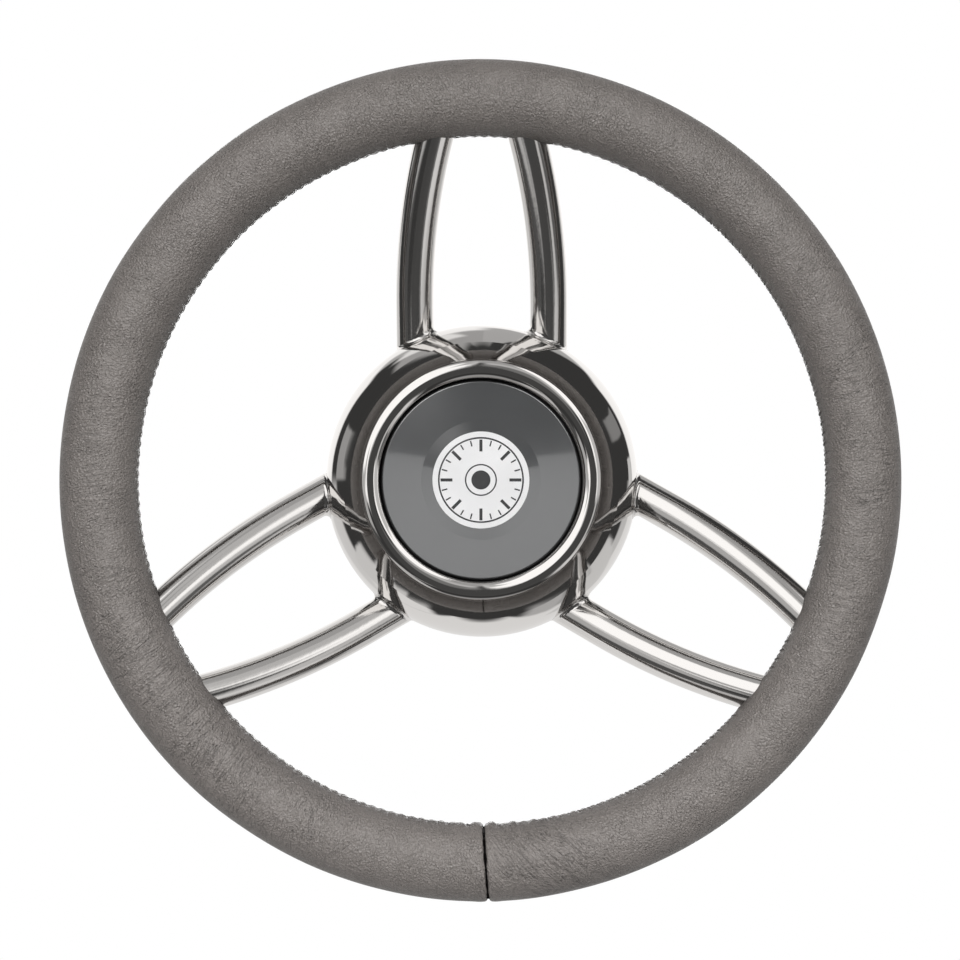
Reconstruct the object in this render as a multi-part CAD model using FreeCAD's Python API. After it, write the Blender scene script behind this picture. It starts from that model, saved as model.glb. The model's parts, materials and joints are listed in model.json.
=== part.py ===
import FreeCAD, Part
import math
import os

# A boat steering wheel: a leather grip on a tube ring, three pairs of bent tubes, and a polished
# hub with a tapered bore, closed at the front by a round bead ring and a snap-in cap.
# The wheel turns about the Y axis. Its face looks along -Y and its top along +Z.
# Depths are measured forward from the bore's mouth, so a depth of 24 lies at Y = -24.
# All lengths are in millimetres and all angles in degrees.

# Grip
wheel_diameter = 350.0
grip_diameter = 32.0
rim_depth = 62.0
leather_thickness = 1.2
leather_joint_gap = 0.5
butt_seam_gap = 1.0
butt_seam_angle = 270.8
core_ring_diameter = 18.0
core_ring_wall = 1.5

# Stitches along the inside of the grip
stitch_pitch = 4.2
stitch_length = 3.8
stitch_thread = 0.8
stitch_slant = 14.0
stitch_lift = 0.02
stitch_tube_margin = 1.6

# Spokes: each is a pair of tubes, straight at the hub and then bent towards each other
pair_angles = {"top": 90.0, "left": 210.0, "right": 330.0}
pair_sides = {"top": ("left", "right"), "left": ("lower", "upper"), "right": ("upper", "lower")}
spoke_diameter = 16.0
spoke_wall = 1.5
spoke_half_spacing = 28.4
spoke_straight_end = 75.0
spoke_bend_radius = 304.0
weld_size = 2.0

# Hub bell: a round belt, then a flatter flank up to the seat of the bead ring
hub_diameter = 132.7
hub_belt_depth = 24.0
hub_belt_radius = 30.0
hub_belt_angle = 43.0
hub_flank_radius = 109.0
hub_wall = 2.0

# Web and boss inside the hub
web_depth = 10.0
web_thickness = 4.0
boss_diameter = 38.0
boss_length = 28.0
boss_chamfer = 1.0
shaft_diameter = 19.05
taper_length_per_diameter = 12.0
key_width = 4.76
key_depth = 2.4

# Bead ring with the sleeve and the ledge that the cap plugs into
bezel_outer_diameter = 101.4
bezel_inner_diameter = 85.6
bezel_land = 2.2
bezel_edge_slope = 50.0
sleeve_wall = 2.0
sleeve_length = 10.5
ledge_width = 5.3
ledge_thickness = 2.0

# Cap
cap_edge_gap = 1.5
cap_edge_drop = 1.6
cap_edge_round = 0.5
cap_crown = 1.2
cap_shoulder_diameter = 50.0
cap_shoulder_rise = 0.35
cap_thickness = 2.4
cap_skirt_inset = 1.2
cap_skirt_wall = 2.2
cap_seat_clearance = 0.2
o_ring_cord = 2.8
o_ring_clearance = 0.2
o_ring_drop = 6.6

# Badge in the cap's recess
badge_diameter = 40.5
badge_clearance = 0.15
badge_recess = 0.5
foil_thickness = 0.3
print_thickness = 0.1
dome_edge = 0.5
dome_height = 1.3
dial_ring_radius = 17.6
dial_ring_width = 0.7
long_mark_length = 5.0
long_mark_width = 1.3
short_mark_length = 2.4
short_mark_width = 0.6
marks_on_dial = 24
marks_per_long_mark = 3
dial_eye_radius = 4.0
dial_eye_ring_radius = 6.4
dial_eye_ring_width = 0.6

centre = FreeCAD.Vector(0, 0, 0)
forward = FreeCAD.Vector(0, -1, 0)
full_turn = 360.0
overlap = 1.0
touch = 0.001

rim_radius = (wheel_diameter - grip_diameter) / 2
grip_radius = grip_diameter / 2
foam_radius = grip_radius - leather_thickness
core_radius = core_ring_diameter / 2
hub_radius = hub_diameter / 2
tube_radius = spoke_diameter / 2
bezel_outer = bezel_outer_diameter / 2
bezel_bore = bezel_inner_diameter / 2
sleeve_outer = bezel_bore + sleeve_wall
cap_radius = bezel_bore - cap_edge_gap
skirt_outer = cap_radius - cap_skirt_inset


def point(radius, depth):
    """A point on the section plane, at a radius from the axis and a depth forward."""
    return FreeCAD.Vector(radius, -depth, 0)


def on_circle(middle, radius, angle):
    """A point on a section circle. The angle runs from outwards to forwards."""
    turn = math.radians(angle)
    return point(middle.x + radius * math.cos(turn), -middle.y + radius * math.sin(turn))


def arc(middle, radius, start, end):
    """An arc of a section circle between two angles."""
    ends = [on_circle(middle, radius, angle) for angle in (start, (start + end) / 2, end)]
    return Part.Arc(*ends).toShape()


def line(start, end):
    return Part.makeLine(start, end)


def turned(edges):
    """The solid that a closed section sweeps round the wheel's axis."""
    face = Part.Face(Part.Wire(edges))
    return face.revolve(centre, FreeCAD.Vector(0, 1, 0), full_turn)


def turned_outline(points):
    """A turned solid whose section has straight sides only."""
    return turned([line(a, b) for a, b in zip(points, points[1:] + points[:1])])


def disc(radius, depth, thickness):
    return Part.makeCylinder(radius, thickness, point(0, depth), forward)


def around(shape, angle):
    """The shape turned about the axis. Seen from the front, the angle grows anticlockwise."""
    copy = shape.copy()
    copy.rotate(centre, forward, angle)
    return copy


def ring_on_rim(radius):
    """A round ring of the given section radius on the rim's centre line."""
    return Part.makeTorus(rim_radius, radius, point(0, rim_depth), forward)


# The bell's section is two arcs that run smoothly into each other
belt_middle = point(hub_radius - hub_belt_radius, hub_belt_depth)
flank_start = on_circle(belt_middle, hub_belt_radius, hub_belt_angle)
flank_middle = on_circle(flank_start, -hub_flank_radius, hub_belt_angle)
flank_cosine = (bezel_outer - flank_middle.x) / hub_flank_radius
flank_angle = math.degrees(math.acos(flank_cosine))
seat_depth = -on_circle(flank_middle, hub_flank_radius, flank_angle).y


def bell(offset):
    """The bell's outer form as a filled solid, with its surface moved outwards by an offset."""
    belt = hub_belt_radius + offset
    flank = hub_flank_radius + offset
    top = seat_depth + offset
    rear_angle = -math.degrees(math.asin(hub_belt_depth / belt))
    top_angle = math.degrees(math.asin((top + flank_middle.y) / flank))
    rear_edge = on_circle(belt_middle, belt, rear_angle)
    top_edge = on_circle(flank_middle, flank, top_angle)
    edges = [
        line(point(0, 0), rear_edge),
        arc(belt_middle, belt, rear_angle, hub_belt_angle),
        arc(flank_middle, flank, hub_belt_angle, top_angle),
        line(top_edge, point(0, top)),
        line(point(0, top), point(0, 0)),
    ]
    return turned(edges)


hub_outside = bell(0)
hub_inside = bell(-hub_wall)
hub_mouth = disc(sleeve_outer, seat_depth - hub_wall - overlap, hub_wall + 2 * overlap)
hub_shell = hub_outside.cut([hub_inside, hub_mouth])

boss_radius = boss_diameter / 2
boss_body = turned_outline([
    point(0, 0),
    point(boss_radius, 0),
    point(boss_radius, boss_length - boss_chamfer),
    point(boss_radius - boss_chamfer, boss_length),
    point(0, boss_length),
])
bore_radius = shaft_diameter / 2
bore_front = bore_radius - boss_length / (2 * taper_length_per_diameter)
bore = Part.makeCone(bore_radius, bore_front, boss_length, point(0, 0), forward)
keyway = Part.makeBox(key_width, boss_length, bore_radius + key_depth)
keyway.translate(FreeCAD.Vector(-key_width / 2, -boss_length, 0))
shaft_boss = boss_body.cut([bore, keyway])

hub_web = disc(hub_radius, web_depth, web_thickness).common(hub_inside)
hub_web = hub_web.cut(disc(boss_radius, web_depth - overlap, web_thickness + 2 * overlap))

# Spokes. A pair is made pointing along +X and then turned to its angle. The tubes lie in a
# plane that leans forward from the hub's belt to the rim's centre line.
root_reach = math.sqrt(hub_radius ** 2 - spoke_half_spacing ** 2)
lean = math.atan2(rim_depth - hub_belt_depth, rim_radius - root_reach)
run = FreeCAD.Vector(math.cos(lean), -math.sin(lean), 0)
sideways = FreeCAD.Vector(0, 0, 1)
root_middle = point(root_reach, hub_belt_depth)
root_overrun = 2 * spoke_wall + tube_radius
straight_length = (spoke_straight_end - root_reach) / math.cos(lean)
bend_reach = (rim_radius - spoke_straight_end) / math.cos(lean)
bend_angle = math.degrees(math.asin(bend_reach / spoke_bend_radius))


def rod(side, radius):
    """A solid rod along one tube's path. The side is 1 or -1."""
    start = root_middle + sideways * (side * spoke_half_spacing) - run * root_overrun
    bend_start = start + run * (root_overrun + straight_length)
    bend_middle = bend_start - sideways * (side * spoke_bend_radius)
    straight = Part.makeCylinder(radius, root_overrun + straight_length, start, run)
    section = Part.Face(Part.Wire(Part.makeCircle(radius, bend_start, run)))
    bend_axis = sideways.cross(run) * side
    bend = section.revolve(bend_middle, bend_axis, bend_angle)
    return straight.fuse(bend)


def place(side, radius, angle):
    return around(rod(side, radius), angle)


def half_spacing_at(reach):
    """Half the distance between a pair's tubes, seen from the front, at a reach past the bend's start."""
    along = (reach - spoke_straight_end) / math.cos(lean)
    return spoke_half_spacing - spoke_bend_radius + math.sqrt(spoke_bend_radius ** 2 - along ** 2)


def lies_on(edge, solid):
    """Whether an edge runs along a solid's surface."""
    surface = Part.makeCompound(solid.Faces)
    span = edge.LastParameter - edge.FirstParameter
    spots = [edge.valueAt(edge.FirstParameter + span * share) for share in (0.2, 0.5, 0.8)]
    return all(Part.Vertex(spot).distToShape(surface)[0] < touch for spot in spots)


def hollow_bead(solid, tube):
    """The polished weld between a solid and a tube: a hollow round that runs smoothly into both."""
    joined = solid.fuse(tube)
    corner = [edge for edge in joined.Edges if lies_on(edge, solid) and lies_on(edge, tube)]
    return joined.makeFillet(weld_size, corner).cut([solid, tube])


core_outside = ring_on_rim(core_radius)
core_bead_zone = ring_on_rim(core_radius + weld_size)
root_beads = {side: hollow_bead(hub_outside, rod(side, tube_radius)) for side in (1, -1)}
spokes = {}
spoke_rods = []
hub_welds = {}
rim_beads = []
for pair, angle in pair_angles.items():
    for name, side in zip(pair_sides[pair], (1, -1)):
        whole = place(side, tube_radius, angle)
        inside = place(side, tube_radius - spoke_wall, angle)
        thick = place(side, tube_radius + weld_size, angle)
        spokes[f"spoke_{pair}_{name}"] = whole.cut([inside, hub_outside, core_outside])
        hub_welds[f"hub_weld_{pair}_{name}"] = around(root_beads[side], angle)
        rim_beads.append(thick.common(core_bead_zone).cut([whole, core_outside]))
        spoke_rods.append(whole)

rim_core_ring = core_outside.cut(ring_on_rim(core_radius - core_ring_wall))
rim_foam = ring_on_rim(foam_radius).cut([core_outside] + spoke_rods + rim_beads)

# The leather is one strip. Its long edges meet round the inside and its ends at the bottom.
seam_reach = wheel_diameter / 2 + overlap
butt_seam = Part.makeBox(seam_reach, 2 * grip_diameter, butt_seam_gap)
butt_seam.translate(FreeCAD.Vector(0, -rim_depth - grip_diameter, -butt_seam_gap / 2))
leather_joint = disc(rim_radius, rim_depth - leather_joint_gap / 2, leather_joint_gap)
leather = ring_on_rim(grip_radius).cut(ring_on_rim(foam_radius))
rim_leather = leather.cut([leather_joint, around(butt_seam, butt_seam_angle)] + spoke_rods)

# Stitches cross the joint in the leather, apart from where the tubes come through
stitch_radius = stitch_thread / 2
stitch_reach = rim_radius - grip_radius - stitch_radius - stitch_lift
stitch_count = round(2 * math.pi * stitch_reach / stitch_pitch)
tube_turn = math.degrees(math.asin(half_spacing_at(stitch_reach) / stitch_reach))
tube_clear = math.degrees((tube_radius + stitch_radius + stitch_tube_margin) / stitch_reach)
tube_turns = [angle + side * tube_turn for angle in pair_angles.values() for side in (1, -1)]


def turn_between(a, b):
    """The smaller angle between two directions."""
    return abs((a - b + full_turn / 2) % full_turn - full_turn / 2)


slant = math.radians(stitch_slant)
stitch_way = FreeCAD.Vector(0, -math.cos(slant), math.sin(slant))
stitch_start = point(stitch_reach, rim_depth) - stitch_way * (stitch_length / 2)
stitch = Part.makeCylinder(stitch_radius, stitch_length, stitch_start, stitch_way)
stitch_angles = [(step + 0.5) * full_turn / stitch_count for step in range(stitch_count)]
clear_angles = [a for a in stitch_angles if min(turn_between(a, t) for t in tube_turns) > tube_clear]
rim_stitches = Part.makeCompound([around(stitch, angle) for angle in clear_angles])

# Bead ring: a low round bead on a short land, with the sleeve and ledge below it
bead_half_width = (bezel_outer - bezel_bore) / 2
bead_radius = bead_half_width / math.sin(math.radians(bezel_edge_slope))
land_depth = seat_depth + bezel_land
bead_sunk = bead_radius * math.cos(math.radians(bezel_edge_slope))
bead_middle = point(bezel_bore + bead_half_width, land_depth - bead_sunk)
crest_depth = bead_radius - bead_middle.y
ledge_depth = seat_depth - sleeve_length
ledge_top = ledge_depth + ledge_thickness
ledge_bore = bezel_bore - ledge_width
bezel_ring = turned([
    line(point(ledge_bore, ledge_depth), point(sleeve_outer, ledge_depth)),
    line(point(sleeve_outer, ledge_depth), point(sleeve_outer, seat_depth)),
    line(point(sleeve_outer, seat_depth), point(bezel_outer, seat_depth)),
    line(point(bezel_outer, seat_depth), point(bezel_outer, land_depth)),
    arc(bead_middle, bead_radius, 90 - bezel_edge_slope, 90 + bezel_edge_slope),
    line(point(bezel_bore, land_depth), point(bezel_bore, ledge_top)),
    line(point(bezel_bore, ledge_top), point(ledge_bore, ledge_top)),
    line(point(ledge_bore, ledge_top), point(ledge_bore, ledge_depth)),
])

# Cap: a crowned disc with a raised shoulder round the badge, and a skirt that plugs into the sleeve
cap_edge = crest_depth - cap_edge_drop
cap_under = cap_edge - cap_thickness
skirt_end = ledge_top + cap_seat_clearance
skirt_inner = skirt_outer - cap_skirt_wall
crown_radius = (cap_radius ** 2 + cap_crown ** 2) / (2 * cap_crown)
crown_middle = point(0, cap_edge + cap_crown - crown_radius)
crown_edge_angle = math.degrees(math.acos(cap_radius / crown_radius))
crown_end = on_circle(crown_middle, crown_radius, crown_edge_angle)
shoulder_angle = math.degrees(math.acos(cap_shoulder_diameter / 2 / crown_radius))
shoulder_foot = on_circle(crown_middle, crown_radius, shoulder_angle)
badge_radius = badge_diameter / 2
cap_top = cap_shoulder_rise - shoulder_foot.y
cap_body = turned([
    line(point(0, cap_under), point(skirt_inner, cap_under)),
    line(point(skirt_inner, cap_under), point(skirt_inner, skirt_end)),
    line(point(skirt_inner, skirt_end), point(skirt_outer, skirt_end)),
    line(point(skirt_outer, skirt_end), point(skirt_outer, cap_under)),
    line(point(skirt_outer, cap_under), point(cap_radius, cap_under)),
    line(point(cap_radius, cap_under), crown_end),
    arc(crown_middle, crown_radius, crown_edge_angle, shoulder_angle),
    line(shoulder_foot, point(badge_radius + badge_clearance, cap_top)),
    line(point(badge_radius + badge_clearance, cap_top), point(0, cap_top)),
    line(point(0, cap_top), point(0, cap_under)),
])
front_edge = min(cap_body.Edges, key=lambda edge: sum(
    vertex.Point.distanceToPoint(crown_end) for vertex in (edge.Vertexes[0], edge.Vertexes[-1])))
cap_body = cap_body.makeFillet(cap_edge_round, [front_edge])

cord_radius = o_ring_cord / 2
cord_reach = bezel_bore - o_ring_clearance - cord_radius
cap_o_ring = Part.makeTorus(cord_reach, cord_radius, point(0, crest_depth - o_ring_drop), forward)

recess_depth = cap_top - badge_recess
recess = disc(badge_radius + badge_clearance, recess_depth, badge_recess + overlap)
centre_cap = cap_body.cut([recess, cap_o_ring])

# Badge: a foil disc with plain dial marks set into it, under a clear dome
foil_top = recess_depth + foil_thickness
print_floor = foil_top - print_thickness


def print_ring(radius, width):
    outside = disc(radius + width / 2, print_floor, print_thickness)
    return outside.cut(disc(radius - width / 2, print_floor, print_thickness))


def mark(length, width, angle):
    """A straight mark that ends just inside the dial's ring."""
    outer = dial_ring_radius - dial_ring_width
    bar = Part.makeBox(length, print_thickness, width)
    bar.translate(FreeCAD.Vector(outer - length, -foil_top, -width / 2))
    return around(bar, angle)


marks = []
for step in range(marks_on_dial):
    angle = step * full_turn / marks_on_dial
    if step % marks_per_long_mark:
        marks.append(mark(short_mark_length, short_mark_width, angle))
    else:
        marks.append(mark(long_mark_length, long_mark_width, angle))
badge_print = Part.makeCompound(marks + [
    print_ring(dial_ring_radius, dial_ring_width),
    print_ring(dial_eye_ring_radius, dial_eye_ring_width),
    disc(dial_eye_radius, print_floor, print_thickness),
])
badge_foil = disc(badge_radius, recess_depth, foil_thickness).cut(badge_print.Solids)

dome_radius = (badge_radius ** 2 + (dome_height - dome_edge) ** 2) / (2 * (dome_height - dome_edge))
dome_middle = point(0, foil_top + dome_height - dome_radius)
dome_edge_angle = math.degrees(math.acos(badge_radius / dome_radius))
badge_dome = turned([
    line(point(0, foil_top), point(badge_radius, foil_top)),
    line(point(badge_radius, foil_top), on_circle(dome_middle, dome_radius, dome_edge_angle)),
    arc(dome_middle, dome_radius, dome_edge_angle, 90),
    line(point(0, foil_top + dome_height), point(0, foil_top)),
])

pieces = {
    "rim_core_ring": rim_core_ring,
    "rim_foam": rim_foam,
    "rim_leather": rim_leather,
    "rim_stitches": rim_stitches,
    **spokes,
    **hub_welds,
    "rim_welds": Part.makeCompound([solid for bead in rim_beads for solid in bead.Solids]),
    "hub_shell": hub_shell,
    "hub_web": hub_web,
    "shaft_boss": shaft_boss,
    "bezel_ring": bezel_ring,
    "centre_cap": centre_cap,
    "cap_o_ring": cap_o_ring,
    "badge_foil": badge_foil,
    "badge_print": badge_print,
    "badge_dome": badge_dome,
}

os.makedirs("parts", exist_ok=True)
for name, shape in pieces.items():
    shape.exportStep(f"parts/{name}.step")
    print(name, len(shape.Solids), "solids", round(shape.Volume), "mm3", "valid", shape.isValid())
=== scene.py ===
import json
import math

import bpy
import numpy as np
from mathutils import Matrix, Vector


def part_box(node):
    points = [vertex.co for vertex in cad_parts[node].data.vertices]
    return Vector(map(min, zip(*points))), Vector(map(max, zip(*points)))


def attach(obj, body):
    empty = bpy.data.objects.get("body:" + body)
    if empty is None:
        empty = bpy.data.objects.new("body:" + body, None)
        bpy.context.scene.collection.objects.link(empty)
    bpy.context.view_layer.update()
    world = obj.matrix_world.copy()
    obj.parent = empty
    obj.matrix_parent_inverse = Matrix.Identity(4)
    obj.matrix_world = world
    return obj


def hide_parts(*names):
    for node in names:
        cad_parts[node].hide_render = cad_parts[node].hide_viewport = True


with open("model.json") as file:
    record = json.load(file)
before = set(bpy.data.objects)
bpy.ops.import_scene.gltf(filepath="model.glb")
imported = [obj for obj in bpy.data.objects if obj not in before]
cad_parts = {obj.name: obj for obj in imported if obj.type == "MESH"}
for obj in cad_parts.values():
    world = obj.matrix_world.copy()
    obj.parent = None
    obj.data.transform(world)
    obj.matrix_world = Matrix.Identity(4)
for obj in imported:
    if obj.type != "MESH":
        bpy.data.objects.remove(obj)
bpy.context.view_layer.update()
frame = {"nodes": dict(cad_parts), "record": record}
nodes = frame["nodes"]
print("stage 1: the frame is loaded with", len(nodes), "nodes")

mm = 0.001
fullTurn = 2 * math.pi
white = (1.0, 1.0, 1.0, 1.0)


def linearColour(hexText):
    # an sRGB hex value to the linear colour that a socket holds
    channels = [int(hexText[i:i + 2], 16) / 255 for i in (1, 3, 5)]
    return tuple(c / 12.92 if c <= 0.04045 else ((c + 0.055) / 1.055) ** 2.4 for c in channels) + (1.0,)


def addNode(tree, kind, settings=None, links=None):
    # links gives each input, by name or number, a socket to join or a plain value
    node = tree.nodes.new(kind)
    for name, value in (settings or {}).items():
        setattr(node, name, value)
    for name, value in (links or {}).items():
        if isinstance(value, bpy.types.NodeSocket):
            tree.links.new(value, node.inputs[name])
        else:
            node.inputs[name].default_value = value
    return node


def newMaterial(name):
    material = bpy.data.materials.new(name)
    material.use_nodes = True
    material.node_tree.nodes.clear()
    return material, material.node_tree


def finishMaterial(tree, shader):
    addNode(tree, "ShaderNodeOutputMaterial", links={"Surface": shader.outputs[0]})


def placeOf(tree):
    return addNode(tree, "ShaderNodeTexCoord").outputs["Object"]


def newObject(name, data):
    thing = bpy.data.objects.new(name, data)
    bpy.context.scene.collection.objects.link(thing)
    return thing


def seenDirectly(tree):
    # 1 where the camera looks, also through clear resin, and 0 for all other rays
    rays = addNode(tree, "ShaderNodeLightPath").outputs
    return addNode(tree, "ShaderNodeMath", {"operation": "MAXIMUM"}, {
        0: rays["Is Camera Ray"], 1: rays["Is Transmission Ray"]}).outputs[0]


# Sizes of the grip in metres, read from the frame
gripLow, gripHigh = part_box("rim_leather")
sectionRadius = (gripHigh.y - gripLow.y) / 2
rimDepth = (gripHigh.y + gripLow.y) / 2
rimRadius = gripHigh.z - sectionRadius
# The same in millimetres, and half of the way round the grip's section
section = sectionRadius / mm
rim = rimRadius / mm
halfRound = math.pi * section
spokeNames = sorted(name for name in nodes if name.startswith("spoke_"))


def tubeAxis(name):
    # the line along a spoke's tube where it enters the grip, from two slices of its mesh between these radii
    mesh = nodes[name].data
    co = np.array([v.co for v in mesh.vertices])
    reach = np.hypot(co[:, 0], co[:, 2])
    ends = []
    for low, high in ((0.127, 0.135), (0.137, 0.145)):
        piece = co[(reach > low) & (reach < high)]
        ends.append((piece.min(0) + piece.max(0)) / 2)
    way = ends[1] - ends[0]
    return ends[1], way / np.linalg.norm(way)


# The studio that the metal mirrors. Angles are in degrees: azimuth from the camera's side or from the far
# side, positive to the right, and elevation above the horizon. Later cards lie over earlier ones.
studio = {
    "plainLevel": 0.11,
    "darkLevel": 0.045,
    "tint": "#fffefd",
    "cards": [
        # name, side, azimuth, elevation, half width, half height, edge, level
        ("ceiling behind", "far", -2, 40, 39, 44, 6, 0.48),
        ("white wall", "far", 0, -17, 49, 50, 6, 1.15),
        ("floor behind", "far", -3, -40, 50, 37, 8, 0.86),
        ("wall at the far left", "near", -130, -17, 16, 17, 8, 0.72),
        ("floor at the left", "near", -112, -41, 17, 15, 2, 0.7),
        ("rug at the left", "near", -113, -54, 15, 12, 5, 0.86),
        ("wall at the far right", "near", 125, -26, 9, 25, 6, 0.6),
        ("floor at the right", "near", 125, -35, 25, 12, 4, 0.68),
        ("rug at the right", "near", 118, -60, 19, 9, 8, 0.5),
        ("window at the left", "near", -105, 11, 10, 10, 2, 0.38),
        ("ceiling at the left", "near", -164, 66, 62, 16, 5, 0.42),
        ("shelf at the right", "near", 108, 22, 14, 5, 1.5, 0.26),
        ("ceiling in front", "near", -5, 69, 86, 15, 5, 0.42),
        ("lamp at the left", "near", -36, 28, 32, 33, 5, 1.3),
        ("beam at the right", "near", 43, 37, 42, 17, 6, 0.57),
        ("lamp at the right", "near", 59, 34, 26, 40, 5, 1.3),
        ("wall by the left lamp", "near", -54, -7, 12, 12, 6, 0.5),
        ("wall by the right lamp", "near", 63, -10, 17, 38, 7, 0.62),
        ("floor by the left lamp", "near", -58, -57, 16, 20, 3, 0.57),
        ("floor in front", "near", -14, -117, 75, 55, 8, 0.34),
        ("edge of the table", "near", 17, -39, 96, 1.2, 1.5, 0.54),
        ("cloth at the right", "near", 60, -38, 17, 5, 3, 0.78),
        ("dark by the camera", "near", 8, -18, 31, 24, 7, 0.07),
        ("lit door at the left", "near", -89, -42, 6, 5, 4, 1.0),
        ("chair at the right", "near", 69, -17, 10, 9, 7, 0.12),
        ("stand above the camera", "near", -9, 55, 5, 15, 7, 0.55),
        ("chair at the left", "near", -65, -28, 14, 7, 2.5, 0.09),
        ("lamp behind", "far", -33, 55, 19, 9, 7, 0.92),
        ("camera's hood", "near", 10, 22, 9, 14, 8, 0.21),
        ("picture behind", "far", 55, 3, 5, 5, 1, 0.66),
        ("box at the right", "near", 38, -37, 4, 7, 1.5, 0.2),
        ("clip of the left lamp", "near", -38, 5, 4, 5, 7, 0.36),
        ("window behind", "far", -15, 34, 15, 12, 7, 1.1),
        ("rail of the right lamp", "near", 40, 69, 14, 5, 4, 0.35),
    ],
}


def buildWorld():
    # mirrors and glass see the studio, the camera sees white, and everything else is lit at a plain level
    world = bpy.data.worlds.new("studio")
    bpy.context.scene.world = world
    world.use_nodes = True
    tree = world.node_tree
    tree.nodes.clear()
    way = addNode(tree, "ShaderNodeTexCoord").outputs["Generated"]
    axes = addNode(tree, "ShaderNodeSeparateXYZ", links={0: way})
    nearer = addNode(tree, "ShaderNodeMath", {"operation": "MULTIPLY"}, {0: axes.outputs["Y"], 1: -1.0})
    height = addNode(tree, "ShaderNodeMath", {"operation": "ARCSINE"}, {0: axes.outputs["Z"]})
    aim = {}
    for side, depth in (("near", nearer.outputs[0]), ("far", axes.outputs["Y"])):
        turn = addNode(tree, "ShaderNodeMath", {"operation": "ARCTAN2"}, {0: axes.outputs["X"], 1: depth})
        aim[side] = addNode(tree, "ShaderNodeCombineXYZ", links={0: turn.outputs[0], 1: height.outputs[0]})
    level = studio["darkLevel"]
    for name, side, azimuth, elevation, halfWidth, halfHeight, edge, strength in studio["cards"]:
        middle = (math.radians(azimuth), math.radians(elevation), 0.0)
        inner = (math.radians(halfWidth - edge / 2), math.radians(halfHeight - edge / 2), 0.0)
        outer = (math.radians(halfWidth + edge / 2), math.radians(halfHeight + edge / 2), 1.0)
        offset = addNode(tree, "ShaderNodeVectorMath", {"operation": "SUBTRACT"},
                         {0: aim[side].outputs[0], 1: middle})
        apart = addNode(tree, "ShaderNodeVectorMath", {"operation": "ABSOLUTE"}, {0: offset.outputs[0]})
        shade = addNode(tree, "ShaderNodeMapRange",
                        {"data_type": "FLOAT_VECTOR", "interpolation_type": "SMOOTHSTEP"},
                        {6: apart.outputs[0], 7: inner, 8: outer, 9: (1.0, 1.0, 1.0), 10: (0.0, 0.0, 0.0)})
        parts = addNode(tree, "ShaderNodeSeparateXYZ", links={0: shade.outputs[1]})
        mask = addNode(tree, "ShaderNodeMath", {"operation": "MULTIPLY", "label": name},
                       {0: parts.outputs[0], 1: parts.outputs[1]})
        level = addNode(tree, "ShaderNodeMix", links={0: mask.outputs[0], 2: level, 3: strength}).outputs[0]
    seen = seenDirectly(tree)
    glossy = addNode(tree, "ShaderNodeLightPath").outputs["Is Glossy Ray"]
    mirrored = addNode(tree, "ShaderNodeMix", links={0: glossy, 2: studio["plainLevel"], 3: level})
    strength = addNode(tree, "ShaderNodeMix", links={0: seen, 2: mirrored.outputs[0], 3: 1.0})
    tint = addNode(tree, "ShaderNodeMix", {"data_type": "RGBA"},
                   {0: seen, 6: linearColour(studio["tint"]), 7: white})
    light = addNode(tree, "ShaderNodeBackground", links={0: tint.outputs[2], 1: strength.outputs[0]})
    addNode(tree, "ShaderNodeOutputWorld", links={0: light.outputs[0]})


# Sizes and heights are in millimetres; the values named drawn are for the tubes
polish = {
    "colour": "#e0dedc", "roughness": 0.04, "hazeRoughness": 0.07, "hazeSize": 9.0, "drawnRoughness": 0.05,
    "waveSize": 14.0, "waveHeight": 0.012, "drawnWaveSize": 9.0, "drawnWaveHeight": 0.015,
    # marks left along the tubes when they were drawn and buffed
    "streakWidth": 1.5, "streakLength": 38.0, "streakHeight": 0.014,
}


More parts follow.
